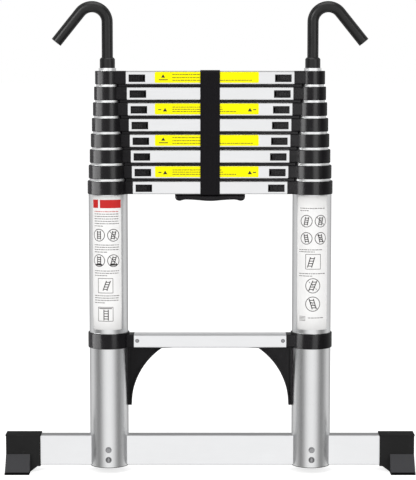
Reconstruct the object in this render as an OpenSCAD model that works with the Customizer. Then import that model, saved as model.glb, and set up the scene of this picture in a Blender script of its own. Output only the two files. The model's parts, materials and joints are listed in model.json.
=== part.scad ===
// Telescoping aluminium ladder, folded, with a stabiliser bar and two roof hooks.
// Millimetres. X runs across the rungs, +Z is up, and the front faces -Y.
// The origin is on the floor, midway between the columns.

/* [Ladder] */
// Distance from the centre line to each column's axis
column_x = 196.5; // [186:0.5:260]
// Height of the fixed bottom rung's tread above the floor
rung_1_top = 270.7; // [225:0.1:330]
// Height of the second rung's tread above the floor
rung_2_top = 568.6; // [560:0.1:700]
// Rise from one folded rung to the next
pitch = 30; // [30:0.5:36]
// Travel of each section from folded to locked
section_travel = 268; // [222:1:290]

/* [Rungs] */
// Height of a rung, tread ribs included
rung_h = 25.5; // [24:0.1:25.5]
// Depth of a rung, front to back
rung_d = 38; // [36:0.5:40]
// Wall of the hollow rung
rung_wall = 1.6; // [1.2:0.1:2]
// Outer corner radius of the rung's profile
rung_corner = 3.6; // [2.4:0.1:5]
// Height of the tread's grip ribs
rib_h = 0.5; // [0.3:0.1:0.8]
// Number of grip ribs on a tread
rib_count = 7; // [3:1:7]

/* [Tubes] */
// Outer radius of the base tubes
base_r = 37.5; // [36:0.1:40]
// Wall of every tube
tube_wall = 1.4; // [1.1:0.1:1.7]
// Step in radius from one tube to the next one inside it
tube_step = 2.25; // [2.2:0.05:2.4]
// Length of each moving tube below its collar
tube_below = 345; // [320:1:350]
// Height of the slide bush at a moving tube's lower end
bush_h = 20; // [14:1:30]

/* [Collars] */
// Wall of a collar's ring
collar_wall = 2; // [1.6:0.1:2.6]
// Length of the socket between the lowest collar's ring and its rung
socket_l = 9; // [7:0.5:12]
// Extra socket length on each collar above
socket_grow = 0.46; // [0:0.02:0.6]
// Height of the lip that guides the next tube
lip_h = 3; // [2:0.5:4]
// Length of the tongue inside the rung's end
tongue_l = 46; // [46:1:60]
// Height that the bottom rung's collar stands above its tread
collar_1_rise = 4; // [1:0.5:8]
// Wall of the bottom rung's collar
collar_1_wall = 2.6; // [2:0.1:3.5]

/* [Latches] */
// Width of the latch window
window_w = 31.5; // [31.5:0.5:36]
// Height of the latch window
window_h = 14.2; // [12:0.1:15]
// Distance from the rung's end to the window
window_gap = 5.3; // [4:0.1:7]
// Width of the thumb slider
knob_w = 20; // [16:0.5:20]
// Height of the thumb slider
knob_h = 8; // [6:0.1:9]
// Distance that the thumb slider stands out from the rung
knob_rise = 2.5; // [1.5:0.1:4]
// Travel of a latch
latch_travel = 10; // [8:0.5:10]
// Diameter of the lock pin
pin_d = 6; // [5:0.1:7]
// Diameter of the pin holes in the tubes
pin_hole_d = 7; // [6.8:0.1:8]

/* [Hooks] */
// Outer diameter of the hook tube
hook_d = 21.5; // [18:0.5:22]
// Wall of the hook tube
hook_wall = 2; // [1.5:0.1:3]
// Height of the bend's centre above the top tread
hook_rise = 92.9; // [70:1:120]
// Radius of the bend at the tube's centre line
hook_bend_r = 29; // [24:0.5:40]
// Angle that the hook turns through
hook_turn = 141; // [120:1:160]
// Straight length after the bend
hook_leg = 73; // [50:1:95]
// Diameter of the shoulder on the hook's sleeve
sleeve_d = 29; // [27:0.5:31]
// Length of the sleeve's shoulder
sleeve_l = 20; // [14:1:28]
// Depth that the sleeve reaches into its socket
stem_l = 45; // [30:1:50]
// Outer diameter of the hook's socket
socket_d = 33; // [32:0.5:35]
// Height that the socket stands above the top collar
socket_rise = 5.5; // [3:0.5:10]

/* [Stabiliser] */
// Half of the stabiliser bar's length
bar_half = 394; // [330:1:460]
// Height of the bar
bar_h = 58.5; // [48:0.5:62]
// Depth of the bar, front to back
bar_d = 28; // [24:0.5:32]
// Wall of the bar
bar_wall = 2; // [1.5:0.1:3]
// Clear height under the bar
bar_z = 13.5; // [11:0.5:20]
// Diameter of the bolts through tube and bar
bolt_d = 6; // [5:0.1:8]
// Height of the upper bolt above the bar's lower edge
upper_bolt = 34.5; // [28:0.5:42]
// Height of the lower bolt above the bar's lower edge
lower_bolt = 15; // [10:0.5:20]

/* [Feet] */
// Length of a boot along the bar
boot_l = 67; // [60:0.5:90]
// Wall of a boot round the bar
boot_wall = 2; // [1.6:0.1:4]
// Length of the foot along the bar
foot_l = 47; // [36:0.5:56]
// Height of the foot
foot_h = 36; // [30:0.5:50]
// Depth of the sole, front to back
sole_d = 88; // [84:0.5:110]
// Thickness of the sole
sole_h = 4.5; // [4:0.5:9]

/* [Braces] */
// Height of a brace below the bottom rung
brace_h = 114; // [90:1:130]
// Radius of the brace's hollow curve
brace_r = 136; // [125:1:150]
// Width of the brace's lower end
brace_toe = 6.5; // [4:0.5:10]
// Depth of the brace's rim
brace_d = 18; // [16:1:30]
// Thickness of the brace's web and rim
brace_t = 3; // [2:0.1:4]

/* [Strap] */
// Width of the strap
strap_w = 37.5; // [25:0.5:50]
// Thickness of the strap
strap_t = 1.4; // [1.2:0.1:3]
// Length of the carry handle
handle_l = 135; // [110:1:150]
// Depth of the carry handle
handle_d = 30; // [24:1:34]
// Thickness of the carry handle at its middle
handle_t = 14; // [11:0.5:16]

/* [Hidden] */

$fn = 96;
TOP = 9;
// Fits: glued or pressed pieces, sliding pieces, the strap round the stack, and a spacer above a rung
fit = 0.05;
slide = 0.25;
strap_gap = 0.4;
spacer_gap = 0.2;
// A cut that starts this far outside a face leaves no skin on it
over = 1;
ring_chamfer = 0.8;
// Gap between the lock pin's tip and the tube that it locks
tip_gap = 0.4;
// The pin and the window sit this far below the rung's middle
pin_drop = 1;
carrier_h = 10;
carrier_back = 4;
spring_l = 6.5;
spring_wall = 1.2;
end_wall = 3;
screw_d = 4;
screw_u = 6.5;
screw_l = 14;
washer_t = 0.8;
head_t = 3.5;
plug_h = 10;
plug_flange = 1.2;
plug_over = 0.3;
boot_lip = 2.5;
boot_lip_out = 0.8;
boot_end_wall = 3.4;
gusset_l = 14.5;
// Height of the gusset's lower end above the floor
gusset_low = 1;
sole_over = 0.5;
shield_t = 1.2;
sole_groove = 1.5;
brace_tail = 26;
brace_tail_t = 0.9;
stem_wall = 3.3;
// The spacer strip under a moving rung fills the gap above the rung below
spacer_h = pitch - rung_h - spacer_gap;
// Clearance between the window's outer edge and the thumb slider at rest
knob_gap = 1;
// Front of the slider's carrier, behind the window plate
carrier_front = 2.5 - rung_d / 2;

black = "#232325";
silver = "#c9cacc";
pale = "#e4e4e8";
steel = "#9a9ca0";
grey = "#4a4a4c";

function rung_top(k) = k == 1 ? rung_1_top : rung_2_top + pitch * (k - 2);
function rung_bottom(k) = rung_top(k) - rung_h;
function tube_r(k) = base_r - tube_step * (k - 2);
function ring_r(k) = k == 1 ? base_r + collar_1_wall : tube_r(k) + collar_wall;
function socket_len(k) = socket_l + socket_grow * max(k - 2, 0);
// Half the length of a rung's metal: it starts where the collar's socket ends
function rung_half(k) = column_x - ring_r(k) - socket_len(k);
function pin_z(k) = rung_bottom(k) + rung_h / 2 - pin_drop;
// Lower end of a tube, and its upper end under the collar's lip
function tube_low(k) = k == 2 ? bar_z : rung_bottom(k) - tube_below;
function tube_high(k) = rung_top(k) - lip_h;
plug_r = tube_r(TOP) - tube_wall - fit;
// The hook's socket and the stem of its sleeve
socket_top = rung_top(TOP) + socket_rise;
stem_r = socket_d / 2 - stem_wall;
// Outer end of a boot, and its depth round the bar
boot_end = bar_half + fit + boot_end_wall;
boot_d = bar_d + 2 * (boot_wall + 1);
// Inner face of the strap, and the level of its lower end
strap_in = rung_d / 2 + strap_gap;
strap_foot = rung_bottom(2);
// Radius of what slides inside collar k: the next tube, or the hook's socket
function inner_r(k) = k < TOP ? tube_r(k + 1) : socket_d / 2;
// Radius of what the lock pin of collar k faces inside its tube
function faced_r(k) = k < TOP ? tube_r(k + 1) : plug_r;

function arc(x, y, r, from, to, n = 5) =
    [for (i = [0:n]) let (a = from + (to - from) * i / n) [x + r * cos(a), y + r * sin(a)]];
function round_rect(w, h, r) = concat(
    arc(w / 2 - r, h / 2 - r, r, 0, 90), arc(r - w / 2, h / 2 - r, r, 90, 180),
    arc(r - w / 2, r - h / 2, r, 180, 270), arc(w / 2 - r, r - h / 2, r, 270, 360));

// Carries a profile drawn in (Y, Z) along X
module along_x(length) {
    rotate([90, 0, 90]) linear_extrude(length) children();
}
// Carries a profile drawn in (X, Z) along Y, half of the depth each way
module along_y(depth) {
    rotate([90, 0, 0]) linear_extrude(depth, center = true) children();
}
module both_sides() {
    children();
    mirror([1, 0, 0]) children();
}
// side is 1 for the right column at +X, and -1 for the left one
module on_side(side) {
    if (side > 0) children();
    else mirror([1, 0, 0]) children();
}

// ---- Rungs ----

// The rung's outline with its tread ribs; its lowest point is at height 0
module rung_outline() {
    body_h = rung_h - rib_h;
    rib_step = (rung_d - 4 * rung_corner) / rib_count;
    translate([0, body_h / 2]) polygon(round_rect(rung_d, body_h, rung_corner));
    for (i = [0:rib_count - 1])
        translate([(i - (rib_count - 1) / 2) * rib_step, rung_h - rib_h])
            square([rib_step / 2, 2 * rib_h], center = true);
}
module rung_hollow(gap) {
    w = rung_d - 2 * (rung_wall + gap);
    h = rung_h - rib_h - 2 * (rung_wall + gap);
    translate([0, (rung_h - rib_h) / 2]) polygon(round_rect(w, h, max(rung_corner - rung_wall, 0.6)));
}
// The latch window through the front wall, from the rung's end towards its middle
module window_cut(k, gap, depth) {
    translate([rung_half(k) - window_gap - window_w + gap, -rung_d / 2 - over, pin_z(k) - window_h / 2 + gap])
        cube([window_w - 2 * gap, depth + over, window_h - 2 * gap]);
}
module rung(k) {
    color(pale) difference() {
        translate([-rung_half(k), 0, rung_bottom(k)]) along_x(2 * rung_half(k)) difference() {
            rung_outline();
            rung_hollow(0);
        }
        if (k > 1) both_sides() window_cut(k, 0, rung_wall + over);
        if (k == 1) both_sides() screw_cut(screw_d / 2 + fit);
    }
}

// ---- Collars ----

module ring_solid(r, h) {
    c = ring_chamfer;
    rotate_extrude() polygon([[0, 0], [r - c, 0], [r, c], [r, h - c], [r - c, h], [0, h]]);
}
// The socket block runs from the column's axis to the rung's end with the rung's own outline
module socket_block(k) {
    translate([rung_half(k), 0, rung_bottom(k)]) along_x(column_x - rung_half(k))
        translate([0, rung_h / 2]) polygon(round_rect(rung_d, rung_h, rung_corner));
}
module tongue(k) {
    translate([rung_half(k) - tongue_l, 0, rung_bottom(k)]) along_x(tongue_l + over) rung_hollow(fit);
}
// The window's plate comes flush with the rung's front face
module window_plate(k) {
    intersection() {
        window_cut(k, 2 * fit, rung_d / 4);
        translate([0, 0, rung_bottom(k)]) along_x(column_x) rung_outline();
    }
}
// The slot for the thumb slider, the channel for its carrier and the bore for its pin
module latch_space(k) {
    inner = rung_half(k) - window_gap - window_w;
    outer = rung_half(k) - window_gap - knob_gap + slide;
    slot_l = knob_w + latch_travel + 2 * slide;
    translate([outer - slot_l, -rung_d / 2 - over, pin_z(k) - knob_h / 2 - slide])
        cube([slot_l, rung_d / 4, knob_h + 2 * slide]);
    channel_l = knob_w + latch_travel + spring_l + 2 * slide;
    translate([outer - channel_l, carrier_front - slide, pin_z(k) - carrier_h / 2 - slide])
        cube([channel_l, carrier_back - carrier_front + 2 * slide, carrier_h + 2 * slide]);
    translate([outer - over, 0, pin_z(k)]) rotate([0, 90, 0]) cylinder(d = pin_d + 2 * slide, h = column_x - outer);
}

module collar(k) {
    difference() {
        union() {
            translate([column_x, 0, rung_bottom(k)]) ring_solid(ring_r(k), rung_h);
            socket_block(k);
            tongue(k);
            window_plate(k);
        }
        translate([column_x, 0, rung_bottom(k) - over]) cylinder(r = tube_r(k) + fit, h = rung_h - lip_h + over);
        translate([column_x, 0, rung_bottom(k)]) cylinder(r = inner_r(k) + slide, h = rung_h + over);
        latch_space(k);
    }
}
// The spacer is a strip of its own under the rung. It reaches from one tube to the other
module spacer(k) {
    half = column_x - tube_r(k) - fit;
    translate([-half, -rung_d / 2 + rung_corner / 2, rung_bottom(k) - spacer_h])
        cube([2 * half, rung_d - rung_corner, spacer_h - fit]);
}
// The bush on a moving tube's lower end keeps it centred in the tube round it
module bush(k) {
    bush_r = tube_r(k - 1) - tube_wall - slide;
    translate([column_x, 0, tube_low(k)]) difference() {
        cylinder(r = bush_r, h = bush_h);
        translate([0, 0, -over]) cylinder(r = tube_r(k) + fit / 2, h = bush_h + 2 * over);
    }
}
module collars(k) {
    color(black) {
        both_sides() collar(k);
        if (k > 2) spacer(k);
        if (k > 2) both_sides() bush(k);
    }
}
module rung_1_collar() {
    low = rung_bottom(1);
    high = rung_top(1) + collar_1_rise;
    difference() {
        union() {
            translate([column_x, 0, low]) ring_solid(ring_r(1), high - low);
            socket_block(1);
            tongue(1);
        }
        translate([column_x, 0, low - over]) cylinder(r = base_r + fit, h = high - low + 2 * over);
        screw_cut(screw_d / 2 + fit);
    }
}
module rung_1_collars() {
    color(black) both_sides() rung_1_collar();
}
// The screw's place: through the front wall of the bottom rung into its collar's tongue
module screw_cut(r) {
    translate([rung_half(1) - screw_u, -rung_d / 2 + screw_l, pin_z(1) + 2 * pin_drop])
        rotate([90, 0, 0]) cylinder(r = r, h = screw_l + over);
}
module rung_1_screw() {
    head_r = screw_d * 0.95;
    translate([rung_half(1) - screw_u, -rung_d / 2, pin_z(1) + 2 * pin_drop]) rotate([90, 0, 0]) {
        translate([0, 0, -screw_l + over]) cylinder(d = screw_d, h = screw_l - over);
        difference() {
            rotate_extrude() polygon([[0, 0], [head_r, 0], [head_r, 0.6], [head_r * 0.7, 1.4], [0, 1.4]]);
            translate([0, 0, 1.2]) cube([head_r, 0.8, 1.2], center = true);
            translate([0, 0, 1.2]) cube([0.8, head_r, 1.2], center = true);
        }
    }
}
module rung_1_screws() {
    color(steel) both_sides() rung_1_screw();
}

// ---- Tubes ----

// A hole on the side of the tube that faces the rungs
module side_hole(z, r) {
    translate([column_x - r - over, 0, z]) rotate([0, 90, 0]) cylinder(d = pin_hole_d, h = tube_wall + 2 * over);
}
module tube(k) {
    r = tube_r(k);
    difference() {
        translate([column_x, 0, tube_low(k)]) cylinder(r = r, h = tube_high(k) - tube_low(k));
        translate([column_x, 0, tube_low(k) - over])
            cylinder(r = r - tube_wall, h = tube_high(k) - tube_low(k) + 2 * over);
        side_hole(pin_z(k), r);
        // The lock hole comes level with the pin of the collar below when the section is raised
        if (k > 2) side_hole(pin_z(k - 1) - section_travel, r);
    }
}
module tubes(k) {
    color(silver) both_sides() tube(k);
}
module base_tube(side) {
    color(silver) on_side(side) difference() {
        tube(2);
        translate([column_x, 0, bar_z]) bar_notch();
        bolt_holes(base_r + over);
    }
}
// The bar passes through a notch that is open at the tube's lower end
module bar_notch() {
    translate([-base_r - over, -bar_d / 2 - slide, -over])
        cube([2 * (base_r + over), bar_d + 2 * slide, bar_h + slide + over]);
}
module bolt_holes(reach) {
    for (z = [upper_bolt, lower_bolt])
        translate([column_x, reach, bar_z + z]) rotate([90, 0, 0])
            cylinder(d = bolt_d + 2 * fit, h = 2 * reach);
}

// ---- Latches ----

module latch(k, side) {
    color(black) on_side(side) {
        outer = rung_half(k) - window_gap - knob_gap;
        front = -rung_d / 2 - knob_rise;
        pin_in = knob_w * 0.6;
        tip = column_x - faced_r(k) - tip_gap;
        difference() {
            union() {
                thumb_slider(outer, front, pin_z(k));
                translate([outer - knob_w, carrier_front, pin_z(k) - carrier_h / 2])
                    cube([knob_w, carrier_back - carrier_front, carrier_h]);
            }
            translate([outer - pin_in, 0, pin_z(k)]) rotate([0, 90, 0]) cylinder(d = pin_d + 2 * fit, h = pin_in + over);
        }
        // A shield behind the window plate hides the spring
        translate([outer - knob_w - spring_l, carrier_front, pin_z(k) - carrier_h / 2])
            cube([spring_l + fit, shield_t, carrier_h]);
        // The steel lock pin
        translate([outer - pin_in + fit, 0, pin_z(k)]) rotate([0, 90, 0])
            cylinder(d = pin_d, h = tip - outer + pin_in - fit);
        // The spring behind the carrier, as a plain sleeve of its pressed length
        translate([outer - knob_w - spring_l, (carrier_front + carrier_back) / 2, pin_z(k)])
            rotate([0, 90, 0]) difference() {
                cylinder(d = carrier_h - 1, h = spring_l - fit);
                translate([0, 0, -over]) cylinder(d = carrier_h - 1 - 2 * spring_wall, h = spring_l + 2 * over);
            }
    }
}
// The thumb slider has grip grooves across its face
module thumb_slider(outer, front, z) {
    groove = 1;
    difference() {
        translate([outer - knob_w, front, z - knob_h / 2]) cube([knob_w, carrier_front - front + over, knob_h]);
        for (i = [1:5])
            translate([outer - knob_w * i / 6 - groove / 2, front - over, z - knob_h / 2 - over])
                cube([groove, over + 0.8, knob_h + 2 * over]);
    }
}

// ---- Hooks ----

module hook_socket() {
    plug_l = stem_l + end_wall + over;
    translate([column_x, 0, socket_top - plug_l - end_wall]) difference() {
        rotate_extrude() polygon([[0, 0], [plug_r, 0],
            [plug_r, rung_top(TOP) - lip_h - socket_top + plug_l + end_wall],
            [socket_d / 2, rung_top(TOP) - lip_h - socket_top + plug_l + end_wall],
            [socket_d / 2, plug_l + end_wall], [0, plug_l + end_wall]]);
        translate([0, 0, end_wall]) cylinder(r = stem_r + slide, h = plug_l + over);
    }
}
module hook_sockets() {
    color(silver) both_sides() hook_socket();
}
module hook_sleeve(side) {
    lip = hook_d / 2 + 1;
    color(black) on_side(side) translate([column_x, 0, socket_top]) difference() {
        rotate_extrude() polygon([[0, -stem_l], [stem_r, -stem_l], [stem_r, 0], [sleeve_d / 2, 0],
            [sleeve_d / 2, sleeve_l - 3], [lip, sleeve_l], [0, sleeve_l]]);
        translate([0, 0, end_wall - stem_l]) cylinder(d = hook_d + 2 * fit, h = stem_l + sleeve_l + over);
    }
}
// The hook stands on the sleeve's floor, rises, bends outwards and ends in a closed straight leg
module hook(side) {
    low = socket_top - stem_l + end_wall;
    centre = rung_top(TOP) + hook_rise;
    bore = hook_d - 2 * hook_wall;
    color(black) on_side(side) {
        translate([column_x, 0, low]) difference() {
            cylinder(d = hook_d, h = centre - low);
            translate([0, 0, -over]) cylinder(d = bore, h = centre - low + 2 * over);
        }
        // A plug in the bore joins the straight tube and the bend
        translate([column_x, 0, centre - hook_wall]) cylinder(d = bore + hook_wall / 2, h = 2 * hook_wall);
        // The bend and the leg share a frame turned so that the leg leaves the bend's first face
        translate([column_x + hook_bend_r, 0, centre]) rotate([90, 0, 0]) rotate([0, 0, 180 - hook_turn]) {
            rotate_extrude(angle = hook_turn) translate([hook_bend_r, 0]) difference() {
                circle(d = hook_d);
                circle(d = bore);
            }
            translate([hook_bend_r, 0, 0]) rotate([90, 0, 0]) difference() {
                cylinder(d = hook_d, h = hook_leg);
                translate([0, 0, -over]) cylinder(d = bore, h = hook_leg - end_wall + over);
            }
        }
    }
}

// ---- Stabiliser and feet ----

module bar_outline(grow, corner) {
    translate([0, bar_z + bar_h / 2]) polygon(round_rect(bar_d + 2 * grow, bar_h + 2 * grow, corner));
}
module stabiliser_bar() {
    color(pale) difference() {
        translate([-bar_half, 0, 0]) along_x(2 * bar_half) difference() {
            bar_outline(0, 2.5);
            bar_outline(-bar_wall, 1);
        }
        both_sides() bolt_holes(bar_d);
    }
}
// A bolt runs from its head in front of the tube to its nut behind it
module bolt(z, hex) {
    face = base_r + washer_t;
    translate([column_x, 0, bar_z + z]) rotate([90, 0, 0]) {
        translate([0, 0, -face - head_t]) cylinder(d = bolt_d, h = 2 * face + head_t);
        translate([0, 0, face]) if (hex) cylinder(d = bolt_d * 1.7, h = head_t, $fn = 6);
        else rotate_extrude() polygon(concat([[0, 0]], arc(0, 0, head_t, 0, 90, 8) * [[1.55, 0], [0, 1]]));
        translate([0, 0, base_r]) cylinder(d = bolt_d * 2, h = washer_t);
        translate([0, 0, -face]) cylinder(d = bolt_d * 2, h = washer_t);
        translate([0, 0, -face - head_t]) cylinder(d = bolt_d * 1.7, h = head_t, $fn = 6);
    }
}
module bar_bolts() {
    color(steel) both_sides() {
        bolt(upper_bolt, true);
        bolt(lower_bolt, false);
    }
}
// The plug closes a base tube's lower end in front of the bar and behind it
module tube_plug() {
    translate([column_x, 0, bar_z]) {
        translate([0, 0, -plug_flange]) cylinder(r = base_r + plug_over, h = plug_flange);
        difference() {
            cylinder(r = base_r - tube_wall - fit, h = plug_h);
            translate([0, 0, over]) bar_notch();
            translate([-base_r, -bar_d / 2 - slide, 0]) cube([2 * base_r, bar_d + 2 * slide, plug_h]);
        }
    }
}
module tube_plugs() {
    color(black) both_sides() tube_plug();
}
module boot(side) {
    start = boot_end - boot_l;
    low = bar_z - boot_wall;
    high = bar_z + bar_h + boot_wall;
    color(black) on_side(side) difference() {
        union() {
            translate([start, -boot_d / 2, low]) cube([boot_l, boot_d, high - low - boot_lip]);
            translate([start - boot_lip_out, -boot_d / 2 - boot_lip_out, high - boot_lip])
                cube([boot_l + 2 * boot_lip_out, boot_d + 2 * boot_lip_out, boot_lip]);
            foot();
            // The gusset slopes from beside the sole up to the boot
            inner = boot_end - foot_l;
            beside = inner - sole_over - fit;
            along_y(boot_d) polygon([[inner, sole_h], [inner, sole_h + foot_h / 2], [inner - gusset_l, bar_z + over],
                [inner - gusset_l, low + fit], [beside, gusset_low], [beside, sole_h]]);
        }
        translate([-over, 0, 0]) along_x(bar_half + fit + over) bar_outline(fit, 2.5);
    }
}
// The foot widens towards the sole, front and back
module foot() {
    top = boot_d / 2 + 0.6;
    base = sole_d / 2 - 2;
    translate([boot_end - foot_l, 0, 0]) along_x(foot_l)
        polygon([[-base, sole_h], [base, sole_h], [top, foot_h], [-top, foot_h]]);
}
module sole() {
    difference() {
        translate([boot_end - foot_l - sole_over, 0, 0]) along_x(foot_l + 2 * sole_over)
            translate([0, sole_h / 2]) polygon(round_rect(sole_d, sole_h, 1));
        for (y = [-3, -2, -1, 1, 2, 3])
            translate([boot_end - foot_l - over, y * sole_d / 8 - 2, -over])
                cube([foot_l + 2 * over, 4, sole_groove + over]);
    }
}
module soles() {
    color(grey) both_sides() sole();
}

// ---- Braces ----

// The region between tube, rung and a hollow arc; inset moves all three sides inwards
module brace_region(inset, reach) {
    top = rung_bottom(1) - inset;
    low = rung_bottom(1) - brace_h;
    back = column_x - base_r + reach;
    centre = column_x - base_r - brace_toe - brace_r;
    r = brace_r + inset;
    rise = top - low;
    polygon(concat([[back - inset, top], [back - inset, low + inset]],
        [for (i = [0:24]) let (a = asin(inset / r) + (asin(rise / r) - asin(inset / r)) * i / 24)
            [centre + r * cos(a), low + r * sin(a)]]));
}
module brace(side) {
    reach = base_r - sqrt(pow(base_r, 2) - pow(brace_d / 2, 2)) + over;
    tail = column_x - base_r - brace_toe - brace_r + sqrt(pow(brace_r, 2) - pow(brace_h, 2));
    color(black) on_side(side) difference() {
        union() {
            along_y(brace_t) brace_region(0, reach);
            along_y(brace_d) difference() {
                brace_region(0, reach);
                brace_region(brace_t, 0);
            }
            // The top flange runs on under the rung as a thin tail
            along_y(brace_d) polygon([[tail + 2 * brace_t, rung_bottom(1)], [tail - brace_tail, rung_bottom(1)],
                [tail - brace_tail, rung_bottom(1) - brace_tail_t], [tail + 2 * brace_t, rung_bottom(1) - 0.75 * brace_t]]);
        }
        translate([column_x, 0, rung_bottom(1) - brace_h - over]) cylinder(r = base_r + fit, h = brace_h + 2 * over);
    }
}

// ---- Strap and handle ----

// The band goes over the folded rungs as an upturned U
module strap_band() {
    top = rung_top(TOP) + fit;
    color(black) difference() {
        translate([-strap_w / 2, -strap_in - strap_t, strap_foot + fit])
            cube([strap_w, 2 * (strap_in + strap_t), top - strap_foot - fit + strap_t]);
        translate([-strap_w / 2 - over, -strap_in, strap_foot - over])
            cube([strap_w + 2 * over, 2 * strap_in, top - strap_foot + over]);
    }
}
// The tail closes the loop under the second rung, above the handle
module strap_tail() {
    color(black) translate([-strap_w / 2, -strap_in - strap_t, strap_foot - strap_t])
        cube([strap_w, 2 * (strap_in + strap_t), strap_t]);
}
// The underside of the handle: thick at the middle and at its rounded ends
function handle_drop(x) = handle_t - 3.2
    + 3.2 * exp(-pow(x / (handle_l * 0.2), 2))
    + 2.4 * exp(-pow((abs(x) - handle_l * 0.43) / (handle_l * 0.06), 2));
module carry_handle() {
    half = handle_l / 2;
    top = strap_foot - strap_t - fit;
    side = 4;
    steps = 40;
    color(black) along_y(handle_d) polygon(concat([[half, top], [-half, top]],
        [for (i = [0:steps]) let (x = (half - side) * (2 * i / steps - 1))
            [x, strap_foot - handle_drop(x) * (1 - 0.15 * pow(abs(2 * i / steps - 1), 30))]]));
}

for (k = [1:9]) rung(k);
for (k = [2:9]) collars(k);
for (k = [3:9]) tubes(k);
for (k = [2:9]) latch(k, -1);
for (k = [2:9]) latch(k, 1);
base_tube(-1);  // base_tube_left
base_tube(1);  // base_tube_right
rung_1_collars();
rung_1_screws();
brace(-1);  // brace_left
brace(1);  // brace_right
stabiliser_bar();
bar_bolts();
tube_plugs();
boot(-1);  // boot_left
boot(1);  // boot_right
soles();
carry_handle();
strap_tail();
strap_band();
hook_sockets();
hook_sleeve(-1);  // hook_sleeve_left
hook_sleeve(1);  // hook_sleeve_right
hook(-1);  // hook_left
hook(1);  // hook_right
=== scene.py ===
# %% [markdown]
# # A folded telescoping ladder
# Metal tubes, hollow rungs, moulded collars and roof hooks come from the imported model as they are.
# This script gives them their finishes and rounds their edges, and it makes the pieces that are
# thin, woven or printed: the strap, the carry handle and the stickers.
# Everything is in metres, with the floor at height 0 and the ladder's front facing -Y.

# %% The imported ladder
import json
import math

import bmesh
import bpy
import numpy as np
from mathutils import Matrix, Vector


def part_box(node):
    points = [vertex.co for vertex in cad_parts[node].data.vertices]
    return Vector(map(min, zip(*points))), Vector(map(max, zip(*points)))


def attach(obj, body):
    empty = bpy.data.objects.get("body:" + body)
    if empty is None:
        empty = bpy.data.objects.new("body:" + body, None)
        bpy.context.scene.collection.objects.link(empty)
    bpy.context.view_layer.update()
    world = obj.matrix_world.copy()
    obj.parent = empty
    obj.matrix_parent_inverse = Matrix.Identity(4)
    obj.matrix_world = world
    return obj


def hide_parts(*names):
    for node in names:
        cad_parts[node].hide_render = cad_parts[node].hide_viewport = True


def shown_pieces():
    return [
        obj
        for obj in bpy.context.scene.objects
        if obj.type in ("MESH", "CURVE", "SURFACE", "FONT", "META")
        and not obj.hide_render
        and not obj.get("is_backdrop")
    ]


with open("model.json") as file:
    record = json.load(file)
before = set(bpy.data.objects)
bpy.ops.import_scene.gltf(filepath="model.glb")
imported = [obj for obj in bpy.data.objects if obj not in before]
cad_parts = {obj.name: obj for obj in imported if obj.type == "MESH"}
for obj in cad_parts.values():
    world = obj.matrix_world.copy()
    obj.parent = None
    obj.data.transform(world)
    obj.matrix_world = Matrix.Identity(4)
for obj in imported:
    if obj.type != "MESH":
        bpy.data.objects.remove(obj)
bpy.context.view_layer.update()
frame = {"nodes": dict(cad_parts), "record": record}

NODES = frame["nodes"]
MM = 0.001

# %% [markdown]
# ## Camera
# A long lens a few metres away keeps the columns upright and nearly parallel. The camera stands
# just above the folded rungs and looks down a little, so the treads of the upper rungs stay
# hidden and the tread of the lowest rung shows.

# %% Camera
CAMERA_PLACE = (-0.004, -3.46, 0.8186)
CAMERA_TILT = math.radians(6.03)

lens = bpy.data.cameras.new("camera")
lens.sensor_width = 36
lens.lens = 135
camera = bpy.data.objects.new("camera", lens)
camera.location = CAMERA_PLACE
camera.rotation_euler = (math.pi / 2 - CAMERA_TILT, 0, 0)
bpy.context.scene.collection.objects.link(camera)
bpy.context.scene.camera = camera
print("camera", CAMERA_PLACE, "lens", lens.lens)

# %% [markdown]
# ## A studio drawn in the sky
# Polished tubes look like what stands round them. In a studio, white cards stand in front and
# beside them with dark gaps between, which gives upright light and dark bands. The world does the
# same here: its brightness depends on the angle away from the front, the same on both sides.
# It could be done with real cards, but a ramp in the world has no edges to hide.

# %% Node helpers
def add_node(tree, kind, **values):
    """A node of a kind; values set its attributes or, where the name is a socket, its input."""
    node = tree.nodes.new(kind)
    for name, value in values.items():
        if hasattr(node, name):
            setattr(node, name, value)
        else:
            node.inputs[name.replace("_", " ")].default_value = value
    return node


def ramp_node(tree, stops):
    """A colour ramp in grey whose stops are (place from 0 to 1, brightness)."""
    node = tree.nodes.new("ShaderNodeValToRGB")
    ramp = node.color_ramp
    ramp.interpolation = "EASE"
    while len(ramp.elements) < len(stops):
        ramp.elements.new(0.5)
    for element, (place, bright) in zip(ramp.elements, stops):
        element.position = place
        element.color = (bright, bright, bright, 1)
    return node


# %% White cards
# Cosine of the angle from the front, and the brightness there.
CARDS = [
    (-1.0, 0.27), (-0.87, 0.38), (-0.64, 0.66), (-0.34, 0.80), (-0.03, 0.56), (0.26, 0.33),
    (0.5, 0.22), (0.7, 0.41), (0.89, 0.84), (0.97, 1.0), (1.0, 1.02),
]

world = bpy.data.worlds.new("studio")
bpy.context.scene.world = world
world.use_nodes = True
tree = world.node_tree
tree.nodes.clear()

direction = add_node(tree, "ShaderNodeTexCoord")
level = add_node(tree, "ShaderNodeVectorMath", operation="MULTIPLY")
level.inputs[1].default_value = (1, 1, 0)
unit = add_node(tree, "ShaderNodeVectorMath", operation="NORMALIZE")
frontness = add_node(tree, "ShaderNodeVectorMath", operation="DOT_PRODUCT")
frontness.inputs[1].default_value = (0, -1, 0)
to_ramp = add_node(tree, "ShaderNodeMapRange")
to_ramp.inputs["From Min"].default_value = -1
cards = ramp_node(tree, [((c + 1) / 2, b) for c, b in CARDS])
tree.links.new(direction.outputs["Generated"], level.inputs[0])
tree.links.new(level.outputs[0], unit.inputs[0])
tree.links.new(unit.outputs[0], frontness.inputs[0])
tree.links.new(frontness.outputs["Value"], to_ramp.inputs["Value"])
tree.links.new(to_ramp.outputs["Result"], cards.inputs["Fac"])
print("studio with", len(CARDS), "brightness stops")

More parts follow.
